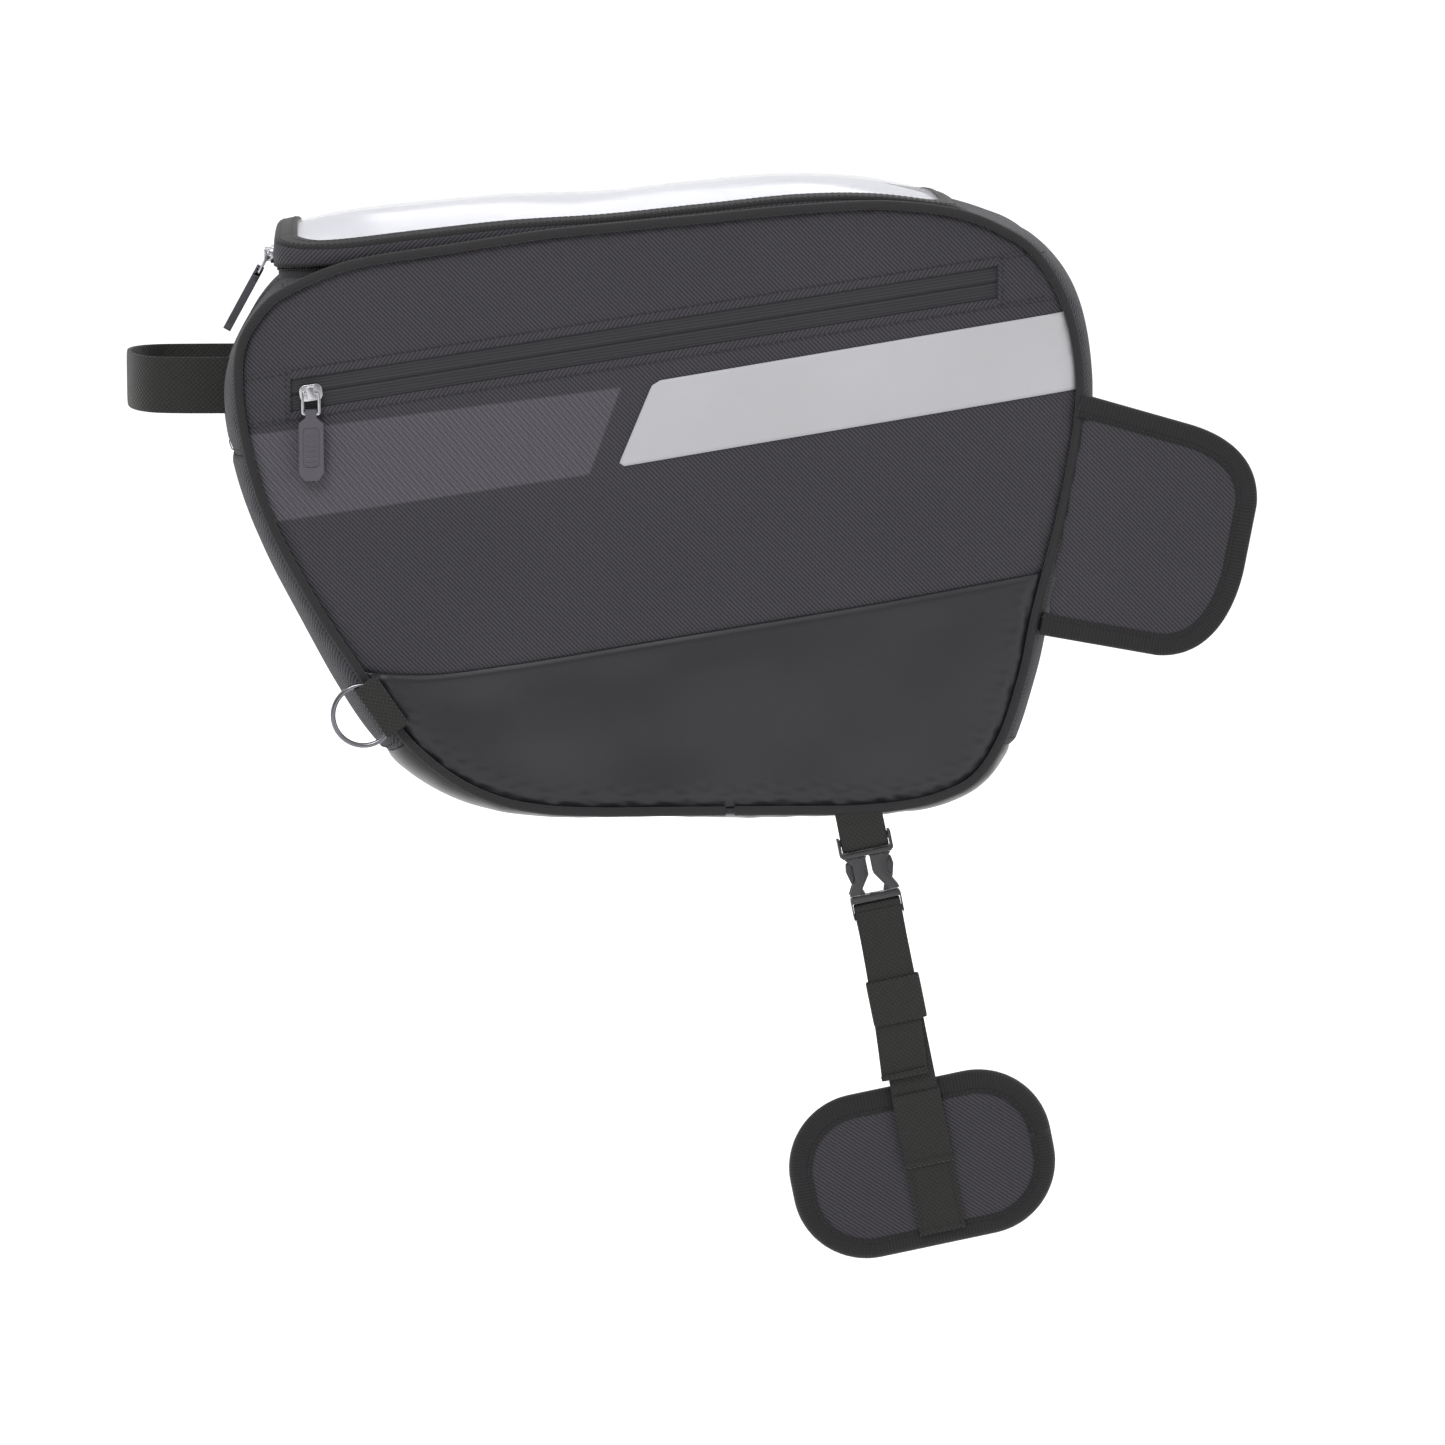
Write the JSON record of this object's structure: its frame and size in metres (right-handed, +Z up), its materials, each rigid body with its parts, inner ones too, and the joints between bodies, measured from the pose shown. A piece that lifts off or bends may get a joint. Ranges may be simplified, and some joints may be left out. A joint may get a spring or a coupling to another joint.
{
  "type": "tank bag",
  "caption": "Soft zipped bag that sits on a motorcycle's tunnel or tank, with a map window lid, side pockets, webbing handle, padded flap and buckled strap with a pad.",
  "frame": {"origin": "centre of the flat underside that sits on the tunnel", "axes": "+Z up out of the tunnel, +X towards the seat end (rear), -Y is the bag's near side with the strap and flap"},
  "size_m": [0.6016, 0.2049, 0.5802],
  "materials": {
    "woven_cloth": "dark woven polyester, matt",
    "coated_cloth": "smooth coated cloth, low sheen",
    "piping_cloth": "woven piping over a cord",
    "lining": "thin woven lining over foam",
    "zip_tape": "woven zip tape and coil",
    "reflective_film": "pale grey reflective film on cloth",
    "nickel": "nickel plated, bright",
    "soft_rubber": "moulded soft rubber",
    "board": "plain plastic board",
    "binding_tape": "ribbed edge binding",
    "clear_film": "soft clear film",
    "map_backing": "pale smooth backing cloth",
    "webbing": "woven webbing, matt",
    "acetal": "moulded acetal, semi gloss"
  },
  "bodies": {
    "bag": {"base_board": "board", "base_panel": "coated_cloth", "front_gusset_lower": "woven_cloth", "front_gusset_upper": "woven_cloth", "gusset_lining": "lining", "main_zip_tape": "zip_tape", "piping_left": "piping_cloth", "piping_right": "piping_cloth", "pocket_zip_tape_left": "zip_tape", "pocket_zip_tape_right": "zip_tape", "rear_gusset": "woven_cloth", "reflective_strip_left": "reflective_film", "reflective_strip_right": "reflective_film", "ring_tab": "webbing", "side_lining_left": "lining", "side_lining_right": "lining", "side_lower_left": "coated_cloth", "side_lower_right": "coated_cloth", "side_middle_left": "woven_cloth", "side_middle_right": "woven_cloth", "side_top_left": "woven_cloth", "side_top_right": "woven_cloth", "zip_patch_front_left": "woven_cloth", "zip_patch_front_right": "woven_cloth", "zip_patch_rear_left": "woven_cloth", "zip_patch_rear_right": "woven_cloth"},
    "lid": {"lid_frame": "binding_tape", "map_window": "clear_film", "map_backing": "map_backing", "lid_panel": "lining", "lid_skirt": "woven_cloth", "lid_zip_tape": "zip_tape"},
    "pocket_slider_left": {"pocket_slider_left": "nickel"},
    "pocket_link_left": {"pocket_link_left": "nickel"},
    "pocket_grip_left": {"pocket_grip_left": "soft_rubber"},
    "pocket_slider_right": {"pocket_slider_right": "nickel"},
    "pocket_link_right": {"pocket_link_right": "nickel"},
    "pocket_grip_right": {"pocket_grip_right": "soft_rubber"},
    "main_slider_left": {"main_slider_left": "nickel"},
    "main_link_left": {"main_link_left": "nickel"},
    "main_grip_left": {"main_grip_left": "soft_rubber"},
    "main_slider_right": {"main_slider_right": "nickel"},
    "main_link_right": {"main_link_right": "nickel"},
    "main_grip_right": {"main_grip_right": "soft_rubber"},
    "handle": {"handle": "webbing"},
    "ring": {"ring": "nickel"},
    "flap": {"flap_pad": "woven_cloth", "flap_binding": "binding_tape"},
    "buckle_socket": {"strap_tab": "webbing", "socket_frame": "acetal", "socket_face": "acetal", "socket_back": "acetal"},
    "buckle_plug": {"buckle_plug": "acetal"},
    "prong_rear": {"plug_prong_rear": "acetal"},
    "prong_front": {"plug_prong_front": "acetal"},
    "strap": {"strap_webbing": "webbing"},
    "keeper": {"strap_keeper": "webbing"},
    "pad": {"pad_webbing": "webbing", "strap_pad": "woven_cloth", "pad_binding": "binding_tape"}
  },
  "joints": [
    {"name": "lid_hinge", "type": "hinge", "parent": "bag", "child": "lid", "pos_m": [0.1405, 0, 0.3265], "axis": [0, 1, 0], "range_deg": [0, 105]},
    {"name": "pocket_zip_left", "type": "slide", "parent": "bag", "child": "pocket_slider_left", "axis": [0.9879, 0, 0.1551], "range_m": [0, 0.356]},
    {"name": "pocket_link_hinge_left", "type": "hinge", "parent": "pocket_slider_left", "child": "pocket_link_left", "pos_m": [-0.204, -0.099, 0.23183], "axis": [-1, 0, 0], "range_deg": [0, 110]},
    {"name": "pocket_grip_hinge_left", "type": "hinge", "parent": "pocket_link_left", "child": "pocket_grip_left", "pos_m": [-0.204, -0.099, 0.22083], "axis": [-1, 0, 0], "range_deg": [0, 60]},
    {"name": "pocket_zip_right", "type": "slide", "parent": "bag", "child": "pocket_slider_right", "axis": [0.9879, 0, 0.1551], "range_m": [0, 0.356]},
    {"name": "pocket_link_hinge_right", "type": "hinge", "parent": "pocket_slider_right", "child": "pocket_link_right", "pos_m": [-0.204, 0.099, 0.23183], "axis": [1, 0, 0], "range_deg": [0, 110]},
    {"name": "pocket_grip_hinge_right", "type": "hinge", "parent": "pocket_link_right", "child": "pocket_grip_right", "pos_m": [-0.204, 0.099, 0.22083], "axis": [1, 0, 0], "range_deg": [0, 60]},
    {"name": "main_zip_left", "type": "slide", "parent": "bag", "child": "main_slider_left", "axis": [0, -1, 0], "range_m": [0, 0.052]},
    {"name": "main_link_hinge_left", "type": "hinge", "parent": "main_slider_left", "child": "main_link_left", "pos_m": [-0.2277, -0.009, 0.299], "axis": [0, 1, 0], "range_deg": [0, 120]},
    {"name": "main_grip_hinge_left", "type": "hinge", "parent": "main_link_left", "child": "main_grip_left", "pos_m": [-0.23303, -0.009, 0.28938], "axis": [0, 1, 0], "range_deg": [0, 60]},
    {"name": "main_zip_right", "type": "slide", "parent": "bag", "child": "main_slider_right", "axis": [0, 1, 0], "range_m": [0, 0.052]},
    {"name": "main_link_hinge_right", "type": "hinge", "parent": "main_slider_right", "child": "main_link_right", "pos_m": [-0.2277, 0.009, 0.299], "axis": [0, 1, 0], "range_deg": [0, 120]},
    {"name": "main_grip_hinge_right", "type": "hinge", "parent": "main_link_right", "child": "main_grip_right", "pos_m": [-0.23303, 0.009, 0.28938], "axis": [0, 1, 0], "range_deg": [0, 60]},
    {"name": "handle_hinge", "type": "hinge", "parent": "bag", "child": "handle", "pos_m": [-0.253, 0, 0.232], "axis": [0, 1, 0], "range_deg": [-30, 30]},
    {"name": "ring_spin", "type": "hinge", "parent": "bag", "child": "ring", "pos_m": [-0.178, -0.1006, 0.0615], "axis": [0, 1, 0], "continuous": true},
    {"name": "flap_hinge", "type": "hinge", "parent": "bag", "child": "flap", "pos_m": [0.19525, -0.0991, 0.16425], "axis": [-0.1738, 0, -0.9848], "range_deg": [0, 100]},
    {"name": "strap_root", "type": "hinge", "parent": "bag", "child": "buckle_socket", "pos_m": [0.085, -0.095, 0.0036], "axis": [0.9799, 0, 0.1994], "range_deg": [-70, 30]},
    {"name": "buckle_release", "type": "slide", "parent": "buckle_socket", "child": "buckle_plug", "axis": [0.1994, 0, -0.9799], "range_m": [0, 0.045]},
    {"name": "prong_squeeze_rear", "type": "hinge", "parent": "buckle_plug", "child": "prong_rear", "pos_m": [0.09946, -0.095, -0.03489], "axis": [0, -1, 0], "range_deg": [0, 8], "stiffness_Nm_per_rad": 0.2},
    {"name": "prong_squeeze_front", "type": "hinge", "parent": "buckle_plug", "child": "prong_front", "pos_m": [0.08672, -0.095, -0.03748], "axis": [0, 1, 0], "range_deg": [0, 8], "stiffness_Nm_per_rad": 0.2},
    {"name": "strap_bar", "type": "hinge", "parent": "buckle_plug", "child": "strap", "pos_m": [0.09531, -0.095, -0.04706], "axis": [0.9799, 0, 0.1994], "range_deg": [-25, 25]},
    {"name": "keeper_slide", "type": "slide", "parent": "strap", "child": "keeper", "axis": [0.1994, 0, -0.9799], "range_m": [0, 0.026]},
    {"name": "pad_hinge", "type": "hinge", "parent": "strap", "child": "pad", "pos_m": [0.11378, -0.095, -0.13785], "axis": [0.9799, 0, 0.1994], "range_deg": [-60, 60]}
  ],
  "couplings": [
    {"joint": "prong_squeeze_front", "follows": "prong_squeeze_rear", "ratio": 1}
  ]
}
